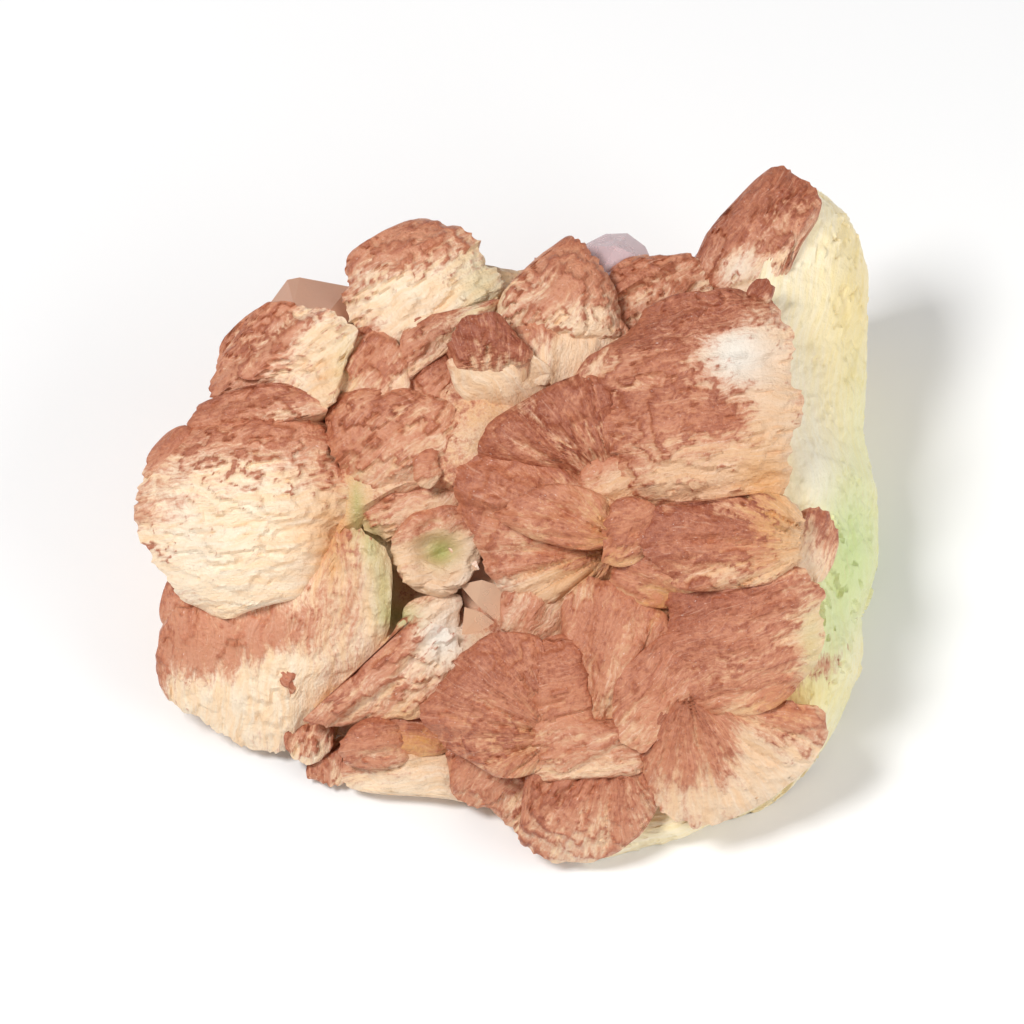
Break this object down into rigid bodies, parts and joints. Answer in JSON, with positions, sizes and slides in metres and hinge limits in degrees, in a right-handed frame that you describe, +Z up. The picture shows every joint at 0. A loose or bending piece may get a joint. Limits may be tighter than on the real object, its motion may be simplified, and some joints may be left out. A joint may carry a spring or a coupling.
{
  "type": "stilbite and apophyllite specimen",
  "caption": "Mineral specimen: overlapping bow-tie sheaves of salmon and cream stilbite with clear apophyllite crystals seated among them, broken off flat underneath and resting on the break.",
  "frame": {"origin": "on the flat break that the specimen rests on, under the middle of its outline seen from above", "axes": "+X to the broken wall at the right of the crystal face, +Y to the back, +Z up; the crystal face looks along -Y and up, 60 degrees above the horizon"},
  "size_m": [0.1503, 0.1292, 0.0677],
  "materials": {
    "stilbite": "pearly salmon blades over cream, silky where broken",
    "apophyllite_clear": "clear with a pink tinge, vitreous",
    "apophyllite_brown": "smoky pink-brown, vitreous",
    "apophyllite_green": "pale green, vitreous"
  },
  "bodies": {
    "root": {"stilbite_cluster": "stilbite", "apophyllite_back": "apophyllite_clear", "apophyllite_left": "apophyllite_brown", "apophyllite_pocket": "apophyllite_green", "apophyllite_rim": "apophyllite_clear"}
  },
  "joints": []
}
